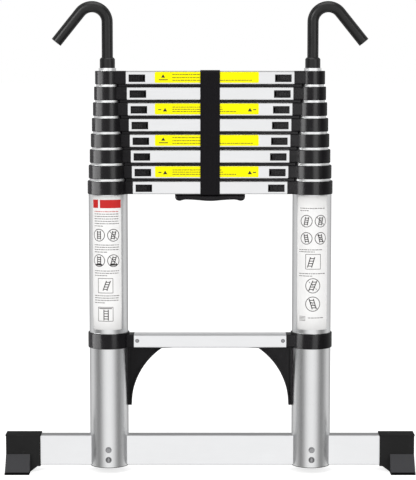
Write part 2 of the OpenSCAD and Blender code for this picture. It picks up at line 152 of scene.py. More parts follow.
# %% [markdown]
# The cards light the ladder and show in its metal, but they would spoil the background. A light
# path node tells the two apart: whoever looks straight past the ladder sees plain white. A white
# wall behind the ladder could do it too, but it would block the cards at the back.

# %% Plain white behind
seen = add_node(tree, "ShaderNodeLightPath")
lit = add_node(tree, "ShaderNodeBackground")
lit.inputs["Strength"].default_value = 1.0
plain = add_node(tree, "ShaderNodeBackground")
plain.inputs["Color"].default_value = (1, 1, 1, 1)
plain.inputs["Strength"].default_value = 1.0
either = add_node(tree, "ShaderNodeMixShader")
out = add_node(tree, "ShaderNodeOutputWorld")
tree.links.new(cards.outputs["Color"], lit.inputs["Color"])
tree.links.new(seen.outputs["Is Camera Ray"], either.inputs[0])
tree.links.new(lit.outputs[0], either.inputs[1])
tree.links.new(plain.outputs[0], either.inputs[2])
tree.links.new(either.outputs[0], out.inputs["Surface"])
print("world with", len(tree.nodes), "nodes")

# %% [markdown]
# ## Lights
# The drawn sky alone lights the bare metal. Stickers, plastic and floor need soft lamps as well,
# and black nylon needs two tall strips that draw a broad grey band on every collar. Light linking
# gives each lamp the pieces that it may light: the lamps are made here, and their lists later,
# when the pieces exist.

# %% Lights
LIGHTS = [
    # name, place, width and height, power in watts, lights black nylon only
    ("key", (-1.7, -2.4, 1.9), (1.3, 1.3), 30, False),
    ("fill", (2.2, -2.2, 1.2), (1.6, 1.6), 14, False),
    ("top", (0.0, -0.3, 2.9), (1.8, 1.8), 20, False),
    ("left strip", (-1.15, -0.35, 0.72), (1.1, 1.5), 88, True),
    ("right strip", (0.62, -1.25, 0.72), (0.7, 1.5), 26, True),
]
AIM_NYLON, AIM_REST = 0.7, 0.45  # the heights that the lamps point at
lamps = {}
for name, place, (wide, tall), power, only_black in LIGHTS:
    lamp = bpy.data.lights.new(name, "AREA")
    lamp.shape = "RECTANGLE"
    lamp.size, lamp.size_y = wide, tall
    lamp.energy = power
    thing = bpy.data.objects.new(name, lamp)
    thing.location = place
    towards = np.array([0, 0, AIM_NYLON if only_black else AIM_REST]) - np.array(place)
    flat = math.hypot(towards[0], towards[1])
    heading = math.atan2(towards[1], towards[0])
    thing.rotation_euler = (math.atan2(flat, -towards[2]), 0, heading - math.pi / 2)
    thing.light_linking.receiver_collection = bpy.data.collections.new("lit by " + name)
    bpy.context.scene.collection.objects.link(thing)
    lamps[name] = (thing.light_linking.receiver_collection, only_black)
bpy.context.scene.view_settings.view_transform = "Standard"
bpy.context.scene.view_settings.look = "None"
print(len(LIGHTS), "area lights")

# %% [markdown]
# ## Shared surface effects
# Drawn aluminium carries fine lines along the way it was pulled through the die, and moulded parts
# carry a fine spark texture and a few pale scuffs. Each effect is a node group, made once and put
# in several materials with its own values. Painted images would tie them to one size.

# %% Group helper
def new_group(name, inputs, outputs):
    """An empty shader group with (name, kind, default) inputs and (name, kind) outputs."""
    group = bpy.data.node_groups.new(name, "ShaderNodeTree")
    for label, kind, default in inputs:
        socket = group.interface.new_socket(label, in_out="INPUT", socket_type=kind)
        socket.default_value = default
    for label, kind in outputs:
        group.interface.new_socket(label, in_out="OUTPUT", socket_type=kind)
    return group, group.nodes.new("NodeGroupInput"), group.nodes.new("NodeGroupOutput")


# %% Drawn grain
def drawn_grain():
    """Lines along the pull: noise on coordinates that are multiplied by Stretch, fine and broad."""
    group, given, result = new_group(
        "drawn grain",
        [("Vector", "NodeSocketVector", (0, 0, 0)), ("Stretch", "NodeSocketVector", (1, 1, 1))],
        [(label, "NodeSocketFloat") for label in ("Lines", "Clouds", "Height")],
    )
    pulled = add_node(group, "ShaderNodeVectorMath", operation="MULTIPLY")
    lines = add_node(group, "ShaderNodeTexNoise", Scale=1.0, Detail=3.0, Roughness=0.6)
    clouds = add_node(group, "ShaderNodeTexNoise", Scale=14.0, Detail=2.0, Roughness=0.5)
    group.links.new(given.outputs["Vector"], pulled.inputs[0])
    group.links.new(given.outputs["Stretch"], pulled.inputs[1])
    group.links.new(pulled.outputs[0], lines.inputs["Vector"])
    group.links.new(given.outputs["Vector"], clouds.inputs["Vector"])
    group.links.new(lines.outputs["Fac"], result.inputs["Lines"])
    group.links.new(clouds.outputs["Fac"], result.inputs["Clouds"])
    group.links.new(lines.outputs["Fac"], result.inputs["Height"])
    return group


# %% Moulded skin
def moulded_skin():
    """The mould's spark texture as height, and thin scuffs where stretched noise is highest."""
    group, given, result = new_group(
        "moulded skin",
        [("Vector", "NodeSocketVector", (0, 0, 0)), ("Spark", "NodeSocketFloat", 900.0)],
        [(label, "NodeSocketFloat") for label in ("Height", "Scuffs", "Tone")],
    )
    spark = add_node(group, "ShaderNodeTexNoise", Detail=2.0, Roughness=0.7)
    tone = add_node(group, "ShaderNodeTexNoise", Scale=30.0, Detail=3.0)
    pulled = add_node(group, "ShaderNodeVectorMath", operation="MULTIPLY")
    pulled.inputs[1].default_value = (70, 70, 700)
    scuff = add_node(group, "ShaderNodeTexNoise", Scale=1.0, Detail=4.0)
    highest = add_node(group, "ShaderNodeMapRange")
    highest.inputs["From Min"].default_value = 0.66
    highest.inputs["From Max"].default_value = 0.8
    group.links.new(given.outputs["Vector"], spark.inputs["Vector"])
    group.links.new(given.outputs["Spark"], spark.inputs["Scale"])
    group.links.new(given.outputs["Vector"], tone.inputs["Vector"])
    group.links.new(given.outputs["Vector"], pulled.inputs[0])
    group.links.new(pulled.outputs[0], scuff.inputs["Vector"])
    group.links.new(scuff.outputs["Fac"], highest.inputs["Value"])
    group.links.new(spark.outputs["Fac"], result.inputs["Height"])
    group.links.new(highest.outputs["Result"], result.inputs["Scuffs"])
    group.links.new(tone.outputs["Fac"], result.inputs["Tone"])
    return group


DRAWN = drawn_grain()
MOULDED = moulded_skin()
print("groups:", DRAWN.name, "and", MOULDED.name)

# %% [markdown]
# ## Materials
# A material starts from the Principled shader with its plain numbers on its own sockets. What
# varies over the surface is linked: colour between two tones, roughness between two values, and
# a bump.

# %% Starting a material
def new_material(name, coords="Object", **plain_values):
    """A Principled material. Returns it with its tree, its shader and the coordinate output."""
    material = bpy.data.materials.new(name)
    material.use_nodes = True
    tree = material.node_tree
    shader = tree.nodes["Principled BSDF"]
    for socket, value in plain_values.items():
        shader.inputs[socket.replace("_", " ")].default_value = value
    place = add_node(tree, "ShaderNodeTexCoord")
    return material, tree, shader, place.outputs[coords]


def put_group(tree, group, vector, **values):
    """Places a node group, gives it its coordinates and its own values."""
    node = tree.nodes.new("ShaderNodeGroup")
    node.node_tree = group
    tree.links.new(vector, node.inputs["Vector"])
    for socket, value in values.items():
        node.inputs[socket].default_value = value
    return node


# %% Colour, roughness and bump
def mix_colour(tree, factor, low, high, target):
    """Links target to a colour that goes from low to high as factor goes from 0 to 1."""
    mix = add_node(tree, "ShaderNodeMix", data_type="RGBA")
    tree.links.new(factor, mix.inputs["Factor"])
    for socket, colour in (("A", low), ("B", high)):
        found = [s for s in mix.inputs if s.name == socket and s.type == "RGBA"][0]
        if isinstance(colour, tuple):
            found.default_value = (*colour, 1)
        else:
            tree.links.new(colour, found)
    result = [s for s in mix.outputs if s.type == "RGBA"][0]
    if target is not None:
        tree.links.new(result, target)
    return result


def map_value(tree, value, low, high, target, start=0.3, end=0.7):
    """Links target to a number from low to high as value goes from start to end."""
    node = add_node(tree, "ShaderNodeMapRange")
    node.inputs["From Min"].default_value = start
    node.inputs["From Max"].default_value = end
    node.inputs["To Min"].default_value = low
    node.inputs["To Max"].default_value = high
    tree.links.new(value, node.inputs["Value"])
    tree.links.new(node.outputs["Result"], target)


def add_bump(tree, shader, height, depth):
    """Bump whose full height is depth metres."""
    bump = add_node(tree, "ShaderNodeBump", Strength=1.0, Distance=depth)
    tree.links.new(height, bump.inputs["Height"])
    tree.links.new(bump.outputs["Normal"], shader.inputs["Normal"])


# %% [markdown]
# ## Metals
# The columns are drawn tubes with a satin sheen, the rungs are extruded and a little lighter, and
# the bolts are plated steel. Brushing could be drawn with an anisotropic shader, but it needs
# tangents on every tube. Fine lines in the roughness and a bump of a hundredth of a millimetre
# spread the highlights in much the same way.

# %% Aluminium and steel
def metal(name, dark, light, smooth, rough, stretch, depth):
    """Drawn or plated metal: two tones and two roughnesses that follow the grain."""
    material, tree, shader, coords = new_material(name, Metallic=1.0)
    grain = put_group(tree, DRAWN, coords, Stretch=stretch)
    mix_colour(tree, grain.outputs["Clouds"], dark, light, shader.inputs["Base Color"])
    map_value(tree, grain.outputs["Lines"], smooth, rough, shader.inputs["Roughness"])
    add_bump(tree, shader, grain.outputs["Height"], depth)
    return material


ALONG_Z, ALONG_X, EVEN = (1500, 1500, 24), (22, 1300, 1300), (500, 500, 500)
TUBE = metal(
    "tube aluminium", (0.78, 0.785, 0.79), (0.85, 0.855, 0.86), 0.26, 0.34, ALONG_Z, 0.00001)
# Painted light: a lighter copy of the tube aluminium for the inner tubes, so that the narrow gaps
# between the collars, in the collars' shade, still read bright.
LIGHTENED_ALUMINIUM = metal(
    "inner tube aluminium", (0.88, 0.885, 0.89), (0.94, 0.945, 0.95), 0.42, 0.5, ALONG_Z, 0.00001)
RUNG = metal(
    "rung aluminium", (0.88, 0.885, 0.895), (0.93, 0.935, 0.945), 0.30, 0.40, ALONG_X, 0.00001)
STEEL = metal("plated steel", (0.27, 0.27, 0.28), (0.4, 0.4, 0.41), 0.2, 0.34, EVEN, 0.00003)
print("metals:", TUBE.name, LIGHTENED_ALUMINIUM.name, RUNG.name, STEEL.name)

# %% [markdown]
# ## Blacks
# Collars and braces are glossy nylon, boots are dull rubber, and the hooks are coated steel. Their
# colours hardly differ, so the difference is made by how broad and how bright the highlights are:
# each finish is the same helper with its own roughness and its own strength of reflection.

# %% Black plastic, rubber and hook coating
def moulded(name, dark, light, smooth, rough, spark, depth, shine):
    """Moulded plastic or rubber: a soft change of tone, spark texture and a few pale scuffs."""
    material, tree, shader, coords = new_material(name, Specular_IOR_Level=shine)
    skin = put_group(tree, MOULDED, coords, Spark=spark)
    base = mix_colour(tree, skin.outputs["Tone"], dark, light, None)
    worn = tuple(min(1.0, c * 2.2 + 0.01) for c in light)
    mix_colour(tree, skin.outputs["Scuffs"], base, worn, shader.inputs["Base Color"])
    map_value(tree, skin.outputs["Tone"], smooth, rough, shader.inputs["Roughness"])
    add_bump(tree, shader, skin.outputs["Height"], depth)
    return material


NYLON = moulded(
    "black nylon", (0.0022, 0.002, 0.0023), (0.004, 0.0037, 0.0042), 0.2, 0.28, 1400, 0.00002, 0.1)
RUBBER = moulded(
    "boot rubber", (0.012, 0.012, 0.012), (0.018, 0.018, 0.018), 0.5, 0.65, 900, 0.00006, 0.05)
SOLE = moulded(
    "sole rubber", (0.001, 0.001, 0.001), (0.003, 0.003, 0.003), 0.6, 0.75, 700, 0.0001, 0.05)
COATING = moulded(
    "hook coating", (0.005, 0.005, 0.005), (0.009, 0.009, 0.009), 0.26, 0.36, 500, 0.00003, 0.35)
SLEEVE = moulded(
    "sleeve nylon", (0.005, 0.0048, 0.0052), (0.009, 0.0087, 0.0092),
    0.28, 0.38, 1400, 0.00002, 0.35)
print("moulded finishes:", NYLON.name, RUBBER.name, SOLE.name, COATING.name, SLEEVE.name)

# %% [markdown]
# The feet of the boots are painted a lighter grey where their faces slope out to the sole: painted
# light, for faces that tilt up towards the lamps above. A mask from the height and the distance from
# the boot's middle plane picks those faces, and the same mask works for both boots.

# %% Painted light on the sloping foot faces
def lit_slope_mask(tree, coords, half_depth, top, low):
    """1 below top, above low and further than half_depth from the plane Y = 0."""
    split = add_node(tree, "ShaderNodeSeparateXYZ")
    tree.links.new(coords, split.inputs[0])
    away = add_node(tree, "ShaderNodeMath", operation="ABSOLUTE")
    tree.links.new(split.outputs["Y"], away.inputs[0])
    tests = []
    for value, operation, limit in (
        (away.outputs[0], "GREATER_THAN", half_depth),
        (split.outputs["Z"], "LESS_THAN", top),
        (split.outputs["Z"], "GREATER_THAN", low),
    ):
        test = add_node(tree, "ShaderNodeMath", operation=operation)
        tree.links.new(value, test.inputs[0])
        test.inputs[1].default_value = limit
        tests.append(test.outputs[0])
    for more in tests[1:]:
        both = add_node(tree, "ShaderNodeMath", operation="MULTIPLY")
        tree.links.new(tests[0], both.inputs[0])
        tree.links.new(more, both.inputs[1])
        tests[0] = both.outputs[0]
    return tests[0]


FACE_OUT = 3.6 * MM  # how far outside the bar the foot faces begin
EDGE = 0.4 * MM  # the mask stays this far inside them
sole_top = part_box("soles")[1].z
bar_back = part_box("stabiliser_bar")[1].y
foot_top = 36 * MM
material_tree = RUBBER.node_tree
shader = material_tree.nodes["Principled BSDF"]
base_now = shader.inputs["Base Color"].links[0].from_socket
foot_coords = add_node(material_tree, "ShaderNodeTexCoord").outputs["Object"]
mask = lit_slope_mask(material_tree, foot_coords, bar_back + FACE_OUT, foot_top - EDGE, sole_top + EDGE)
# Painted light: the sloping foot faces get a lighter grey, as if lit from above.
mix_colour(material_tree, mask, base_now, (0.05, 0.05, 0.053), shader.inputs["Base Color"])
print("foot faces from", round(sole_top, 4), "to", round(foot_top, 4))

# %% [markdown]
# ## Webbing
# The strap is black polyester webbing: fine ribs along its length, with the weft crossing them.
# The pattern follows the strap, so it reads the strap's own UV map, in metres along and across.

# %% Webbing material
def webbing(name):
    """Ribs across the width and weft picks along the length, as the product of two waves."""
    material, tree, shader, coords = new_material(
        name, "UV", Sheen_Weight=0.04, Sheen_Roughness=0.5, Specular_IOR_Level=0.15)
    ribs = add_node(tree, "ShaderNodeTexWave", wave_type="BANDS", bands_direction="X", Scale=130.0)
    picks = add_node(tree, "ShaderNodeTexWave", wave_type="BANDS", bands_direction="Y", Scale=210.0)
    fuzz = add_node(tree, "ShaderNodeTexNoise", Scale=800.0, Detail=2.0)
    for node in (ribs, picks, fuzz):
        tree.links.new(coords, node.inputs["Vector"])
    weave = add_node(tree, "ShaderNodeMath", operation="MULTIPLY")
    tree.links.new(ribs.outputs["Fac"], weave.inputs[0])
    tree.links.new(picks.outputs["Fac"], weave.inputs[1])
    whole = add_node(tree, "ShaderNodeMath", operation="ADD")
    tree.links.new(weave.outputs[0], whole.inputs[0])
    part = add_node(tree, "ShaderNodeMath", operation="MULTIPLY")
    tree.links.new(fuzz.outputs["Fac"], part.inputs[0])
    part.inputs[1].default_value = 0.3
    tree.links.new(part.outputs[0], whole.inputs[1])
    dark, light = (0.003, 0.0025, 0.0035), (0.009, 0.008, 0.0105)
    mix_colour(tree, weave.outputs[0], dark, light, shader.inputs["Base Color"])
    map_value(tree, whole.outputs[0], 0.9, 0.66, shader.inputs["Roughness"], 0.0, 1.2)
    add_bump(tree, shader, whole.outputs[0], 0.0003)
    return material


WEBBING = webbing("strap webbing")
print("webbing:", WEBBING.name)

# %% [markdown]
# ## Vinyl and ink
# The stickers are printed vinyl, smooth but never quite even. Each ink is a material of its own
# instead of a painted image, so the print stays sharp from near by.

# %% Sticker materials
def vinyl(name, low, high, rough, mottle=60.0, shine=0.3):
    """Printed vinyl or ink: a faint unevenness of tone and of roughness."""
    material, tree, shader, coords = new_material(name, Specular_IOR_Level=shine)
    uneven = add_node(tree, "ShaderNodeTexNoise", Scale=mottle, Detail=4.0)
    tree.links.new(coords, uneven.inputs["Vector"])
    mix_colour(tree, uneven.outputs["Fac"], low, high, shader.inputs["Base Color"])
    map_value(tree, uneven.outputs["Fac"], rough, rough + 0.12, shader.inputs["Roughness"])
    return material


PAPER = vinyl("white sticker", (0.70, 0.695, 0.69), (0.76, 0.755, 0.75), 0.35)
YELLOW = vinyl("yellow sticker", (0.78, 0.73, 0.0), (0.84, 0.79, 0.0), 0.35, shine=0.08)
RED = vinyl("red ink", (0.42, 0.005, 0.004), (0.50, 0.009, 0.007), 0.4)
GREY_INK = vinyl("grey ink", (0.09, 0.085, 0.085), (0.15, 0.14, 0.14), 0.5, 900.0)
DARK_INK = vinyl("dark ink", (0.012, 0.01, 0.01), (0.03, 0.025, 0.025), 0.5, 900.0)
BROWN_INK = vinyl("brown ink", (0.10, 0.07, 0.004), (0.18, 0.13, 0.008), 0.5, 900.0)
print("stickers:", PAPER.name, YELLOW.name, RED.name)

# %% [markdown]
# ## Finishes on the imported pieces
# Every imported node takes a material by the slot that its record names. Real edges are never quite
# sharp: a cut tube is deburred and a moulding has a small radius, and that thin rounded line
# catches light. Modifiers do it without changing the mesh: a weld joins the loose triangles, a
# planar dissolve clears the flat ones, and a bevel rounds what is left.

# %% Materials and rounded edges
BY_SLOT = {
    "tube_metal": (TUBE, 0.2), "rung_metal": (RUNG, 0.35), "black_plastic": (NYLON, 0.5),
    "boot_rubber": (RUBBER, 0.9), "hook_coating": (COATING, 0.8), "bolt_steel": (STEEL, 0.25),
    "webbing": (WEBBING, 0.3),
}
NO_BEVEL = ("tubes_", "base_tube", "hook_left", "hook_right", "rung_1_screws")
CREASE = math.radians(32)  # an edge that bends more than this is a real edge


def round_edges(node, width):
    """Adds weld, planar dissolve and bevel modifiers; width is in millimetres."""
    weld = node.modifiers.new("weld", "WELD")
    weld.merge_threshold = 0.00001
    if node.name.startswith(NO_BEVEL):
        split = node.modifiers.new("creases", "EDGE_SPLIT")
        split.split_angle = CREASE
        return
    plane = node.modifiers.new("flat faces", "DECIMATE")
    plane.decimate_type = "DISSOLVE"
    plane.angle_limit = math.radians(0.4)
    bevel = node.modifiers.new("rounded edges", "BEVEL")
    bevel.width = width * MM
    bevel.segments = 2
    bevel.limit_method = "ANGLE"
    bevel.angle_limit = CREASE
    bevel.use_clamp_overlap = True
    even = node.modifiers.new("even shading", "WEIGHTED_NORMAL")
    even.mode = "FACE_AREA"
    even.weight = 100


slot_of = {part["node"]: part["material_slot"] for part in frame["record"]["subparts"]}
for name, node in NODES.items():
    material, width = BY_SLOT[slot_of[name]]
    # Painted light: inner tubes and hook sockets take the lighter copy of the tube aluminium.
    if name.startswith("tubes_") or name == "hook_sockets":
        material = LIGHTENED_ALUMINIUM
    if name == "soles":
        material = SOLE
    if name.startswith("hook_sleeve"):
        material = SLEEVE
    node.data.materials.clear()
    node.data.materials.append(material)
    for polygon in node.data.polygons:
        polygon.use_smooth = True
    round_edges(node, width)
print("finished", len(NODES), "packed pieces")

# %% [markdown]
# ## Grids
# The new pieces are all sheets of quads: a point for each pair of numbers (u, v). One helper turns
# such an array into a mesh with a UV map, and another puts the piece on its body.

# %% From numbers to a mesh
def grid_mesh(name, points, close_v=False, uv=None):
    """A quad mesh from points of shape (rows, columns, 3).

    close_v joins the last column to the first."""
    rows, columns = points.shape[:2]
    across = columns if close_v else columns - 1
    i, j = np.meshgrid(np.arange(rows - 1), np.arange(across), indexing="ij")
    after = (j + 1) % columns
    near, far = i * columns, (i + 1) * columns
    quads = np.stack([near + j, near + after, far + after, far + j], -1)
    mesh = bpy.data.meshes.new(name)
    mesh.from_pydata(points.reshape(-1, 3), [], quads.reshape(-1, 4).tolist())
    mesh.polygons.foreach_set("use_smooth", np.ones(len(mesh.polygons), bool))
    if uv is not None:
        corner = np.zeros(len(mesh.loops), np.int32)
        mesh.loops.foreach_get("vertex_index", corner)
        mesh.uv_layers.new(name="UVMap").data.foreach_set("uv", uv.reshape(-1, 2)[corner].ravel())
    mesh.update()
    return mesh


# %% Placing a piece and giving it thickness
def add_piece(name, mesh, body, materials, replaced=()):
    """Links a finished mesh as a piece that rides on a body and takes a slot's finish."""
    piece = bpy.data.objects.new(name, mesh)
    bpy.context.scene.collection.objects.link(piece)
    for material in materials:
        mesh.materials.append(material)
    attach(piece, body)
    if replaced:
        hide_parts(*replaced)
    return piece


def thicken(piece, thickness, offset, rounding=0.0):
    """Gives a sheet its thickness and, where asked, rounds its edges."""
    solid = piece.modifiers.new("thickness", "SOLIDIFY")
    solid.thickness = thickness
    solid.offset = offset
    if rounding:
        bevel = piece.modifiers.new("rounding", "BEVEL")
        bevel.width = rounding
        bevel.segments = 2
        bevel.limit_method = "ANGLE"
        bevel.angle_limit = math.radians(40)


# %% [markdown]
# ## Strap
# A webbing strap runs up the front of the folded rungs, over the top one and down the back. It is
# taut, so it is a flat ribbon with round corners, and between two rungs it dips a little. It is a
# ribbon carried along a path: straight lines joined by quarter circles.

# %% Strap sizes and ribbon
band_low, band_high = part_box("strap_band")
STRAP_THICK = 1.2 * MM
STRAP_EDGE = 0.35 * MM  # rounding of its edges
CLEAR = 0.1 * MM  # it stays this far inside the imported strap
CORNER = 6 * MM  # radius at the top rung
DIP = 0.16 * MM  # depth between two rungs
DIP_LOW = 2.2 * MM  # the deepest place, below a rung's underside


def ribbon_path(half, low, high, corner):
    """Up at -half, round a corner, across at high, round a corner and down at +half, as (y, z)."""
    up = np.linspace(low, high - corner, 120)
    turn = np.linspace(0, math.pi / 2, 14)[1:]
    first = np.stack([np.full_like(up, -half), up], 1)
    bend_y, bend_z = -half + corner - corner * np.cos(turn), high - corner + corner * np.sin(turn)
    bend = np.stack([bend_y, bend_z], 1)
    over = np.stack([np.linspace(-half + corner, half - corner, 24)[1:-1], np.full(22, high)], 1)
    left = np.concatenate([first, bend])
    right = (left * [-1, 1])[::-1]
    return np.concatenate([left, over, right])


def ribbon_grid(path, width, columns=19):
    """The path carried across the width; UV is metres across and along."""
    x = np.linspace(-width / 2, width / 2, columns)
    along = np.concatenate([[0], np.cumsum(np.linalg.norm(np.diff(path, axis=0), axis=1))])
    points = np.zeros((len(path), columns, 3))
    points[..., 0] = x
    points[..., 1:] = path[:, None]
    uv = np.stack(np.broadcast_arrays(x[None], along[:, None]), -1)
    return points, uv, along[-1]


# %% Strap band
strap_half = band_high.y - STRAP_THICK / 2 - CLEAR
strap_width = band_high.x - band_low.x
path = ribbon_path(strap_half, band_low.z, band_high.z - STRAP_THICK / 2, CORNER)
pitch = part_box("rung_4")[1].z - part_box("rung_3")[1].z
gap_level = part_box("rung_3")[0].z
upright = np.abs(np.abs(path[:, 0]) - strap_half) < 1e-6
dip = DIP * (0.5 + 0.5 * np.cos(2 * math.pi * (path[:, 1] - gap_level + DIP_LOW) / pitch))
path[upright, 0] -= (np.sign(path[:, 0]) * dip)[upright]
points, uv, strap_length = ribbon_grid(path, strap_width)
strap_mesh = grid_mesh("strap", points, uv=uv)
strap = add_piece("strap", strap_mesh, "section_9", [WEBBING], ["strap_band"])
thicken(strap, STRAP_THICK, 0.0, STRAP_EDGE)
print("strap", round(strap_width, 3), "by", round(strap_length, 3))

# %% [markdown]
# The strap's other end closes the loop under the second rung and goes into the handle. It stays
# with the base when the ladder opens, so it is a piece of its own.

# %% Strap tail
tail_low, tail_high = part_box("strap_tail")
level = np.linspace(-1, 1, 40)
tail_y = (tail_high.y - STRAP_THICK / 2 - CLEAR) * level
tail_rise = 0.15 * MM * np.abs(level) ** 24  # it turns up slightly at both ends
tail_z = tail_low.z + STRAP_THICK / 2 + CLEAR + tail_rise
points, uv, tail_length = ribbon_grid(np.stack([tail_y, tail_z], 1), strap_width)
tail_mesh = grid_mesh("strap_under_rung", points, uv=uv)
tail = add_piece("strap_under_rung", tail_mesh, "root", [WEBBING], ["strap_tail"])
thicken(tail, STRAP_THICK, 0.0, STRAP_EDGE)
print("strap tail", round(tail_length, 3))

# %% [markdown]
# ## Carry handle
# The handle is a moulded bar under the lowest folded rung. Its underside bulges in the middle to
# fill the palm and again near its rounded ends, so that a hand doesn't slip off. It is a loft: a
# rounded section carried along X, whose depth below the flat top follows a formula.

# %% Handle shape
handle_low, handle_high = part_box("carry_handle")
POWER = 3.4  # 2 would be an ellipse, and a larger number is squarer
END = 0.06  # the share of half the length where an end is rounded


def handle_points(stations=121, around=48):
    """Sections are superellipses. Towards each end they shrink as a quarter ellipse."""
    half = (handle_high.x - handle_low.x) / 2
    width = handle_high.y - handle_low.y
    deep = handle_high.z - handle_low.z
    t = np.linspace(-1, 1, stations)
    t = np.sin(t * math.pi / 2)
    x = half * t
    middle = np.exp(-((x / (0.4 * half)) ** 2))
    ends = np.exp(-(((np.abs(x) - 0.87 * half) / (0.1 * half)) ** 2))
    drop = deep * (0.76 + 0.24 * middle + 0.2 * ends)
    shrink = np.clip((np.abs(t) - (1 - END)) / END, 0, 1)
    shrink = np.sqrt(np.maximum(1 - shrink**2, 0.0004))
    angle = np.linspace(0, 2 * math.pi, around, endpoint=False)
    c = np.sign(np.cos(angle)) * np.abs(np.cos(angle)) ** (2 / POWER)
    s = np.sign(np.sin(angle)) * np.abs(np.sin(angle)) ** (2 / POWER)
    drop_now = np.minimum(drop, deep) * (0.35 + 0.65 * shrink)
    points = np.zeros((stations, around, 3))
    points[..., 0] = x[:, None]
    points[..., 1] = 0.5 * width * shrink[:, None] ** 0.5 * c
    points[..., 2] = handle_high.z - drop_now[:, None] * (0.5 - 0.5 * s)
    return points


# %% Handle
def close_ends(mesh, rows, columns):
    """Fills the first and last of a mesh's rows with one face each; a row is a ring of columns."""
    shape = bmesh.new()
    shape.from_mesh(mesh)
    shape.verts.ensure_lookup_table()
    shape.faces.new([shape.verts[k] for k in range(columns)][::-1])
    shape.faces.new([shape.verts[(rows - 1) * columns + k] for k in range(columns)])
    bmesh.ops.recalc_face_normals(shape, faces=shape.faces)
    shape.to_mesh(mesh)
    shape.free()


handle_grid = handle_points()
handle_mesh = grid_mesh("handle", handle_grid, close_v=True)
close_ends(handle_mesh, *handle_grid.shape[:2])
add_piece("handle", handle_mesh, "root", [NYLON], ["carry_handle"])
print("handle", len(handle_mesh.polygons), "faces")

# %% [markdown]
# ## Stickers
# A sticker is a thin sheet laid on the metal, and its print is thinner still. Both start flat, in
# metres along and up the sticker, and one function wraps them: round a tube, or flat on a rung.
# The print stands only for print: bars for lines of words, plain rings, squares and small ladders.

# %% Flat shapes for stickers
class Print:
    """Collects flat quads, each with the number of its ink, to be wrapped and made into a mesh."""

    def __init__(self):
        self.points = []
        self.quads = []
        self.inks = []
        self.count = 0

    def sheet(self, points, ink):
        """points has shape (rows, columns, 2)."""
        rows, columns = points.shape[:2]
        i, j = np.meshgrid(np.arange(rows - 1), np.arange(columns - 1), indexing="ij")
        first = i * columns + j
        quads = np.stack([first, first + 1, first + columns + 1, first + columns], -1)
        quads = quads.reshape(-1, 4)
        self.points.append(points.reshape(-1, 2))
        self.quads.append(quads + self.count)
        self.inks.append(np.full(len(quads), ink, np.int32))
        self.count += rows * columns

    def bar(self, x, z, width, height, ink):
        """A level bar that starts at x, with z at its middle; a column every 3 mm lets it wrap."""
        columns = max(2, int(width / (3 * MM)) + 2)
        across = np.linspace(x, x + width, columns)
        points = np.stack(np.meshgrid(across, [z - height / 2, z + height / 2]), -1)
        self.sheet(points, ink)

    def line(self, path, width, ink):
        """A drawn line: the path widened by half of width on both sides."""
        path = np.asarray(path, float)
        step = np.gradient(path, axis=0)
        step /= np.linalg.norm(step, axis=1, keepdims=True)
        side = np.stack([-step[:, 1], step[:, 0]], 1) * width / 2
        self.sheet(np.stack([path - side, path + side]), ink)

    def ring(self, x, z, radius, width, ink):
        """A circle drawn as a line that ends where it starts."""
        angle = np.linspace(0, 2 * math.pi, 49)
        rim = np.stack([np.cos(angle), np.sin(angle)], 1)
        centre = np.array([x, z])
        outer, inner = rim * (radius + width / 2), rim * (radius - width / 2)
        self.sheet(np.stack([centre + outer, centre + inner]), ink)

    def box(self, x, z, width, height, stroke, ink):
        """A rectangle's outline, centred on (x, z)."""
        for side in (-1, 1):
            self.bar(x - width / 2, z + side * height / 2, width, stroke, ink)
            upright = np.linspace(z - height / 2, z + height / 2, 5)
            self.line(np.stack([np.full(5, x + side * width / 2), upright], 1), stroke, ink)


# %% [markdown]
# Printed lines of text look from a distance like short bars of uneven width, so that is how they
# are drawn: no letters, only a random width for each word. The signs are a ladder of six strokes.

# %% Words, ladders and triangles
def words(print_, x, z, width, rng, ink, height=1.4 * MM):
    """A line of words as short bars, 2 to 7 mm wide with small gaps, up to the line's end."""
    place = x
    while place < x + width - 1.5 * MM:
        size = min(rng.uniform(2.0, 7.0) * MM, x + width - place)
        print_.bar(place, z, size, height, ink)
        place += size + 0.9 * MM


def ladder_sign(print_, x, z, size, lean, ink):
    """Two leaning rails with four rungs between them; lean is the shift of the top, in metres."""
    half = size * 0.2
    t = np.linspace(-0.5, 0.5, 6)
    for side in (-1, 1):
        print_.line(np.stack([x + side * half + lean * t, z + size * t], 1), 1.7 * MM, ink)
    for step in (-0.36, -0.12, 0.12, 0.36):
        print_.bar(x - half + lean * step, z + size * step, 2 * half, 1.5 * MM, ink)


def triangle(print_, x, z, size, ink):
    """A filled triangle as rows that narrow towards the top."""
    rows = np.linspace(0, 1, 6)
    half = size * 0.6 * (1 - rows) + 0.02 * MM
    left = np.stack([x - half, z + size * (rows - 0.5)], 1)
    right = np.stack([x + half, z + size * (rows - 0.5)], 1)
    print_.sheet(np.stack([left, right], 1), ink)


# %% Sticker outline
def rounded_sheet(width, height, radius, columns):
    """A rectangle with round corners as columns whose height follows a circle near the ends."""
    edge = width / 2 - radius
    corner = np.linspace(0, math.pi / 2, 9)
    ends = edge + radius * np.sin(corner)
    x = np.concatenate([-ends[::-1], np.linspace(-edge, edge, columns)[1:-1], ends])
    past = np.clip(np.abs(x) - edge, 0, radius)
    tall = height / 2 - radius + np.sqrt(np.maximum(radius**2 - past**2, 0))
    rows = np.linspace(-1, 1, 7)
    return np.stack([np.broadcast_to(x, (7, len(x))), rows[:, None] * tall], -1)


# %% [markdown]
# A real sticker is flat until it is pressed on. In the same way each flat point is moved on to the
# metal: round a tube, where the distance along the sticker becomes an angle, or straight on to a
# rung's front. A shrinkwrap modifier could do it, but it would pull the print into the mesh's
# facets.

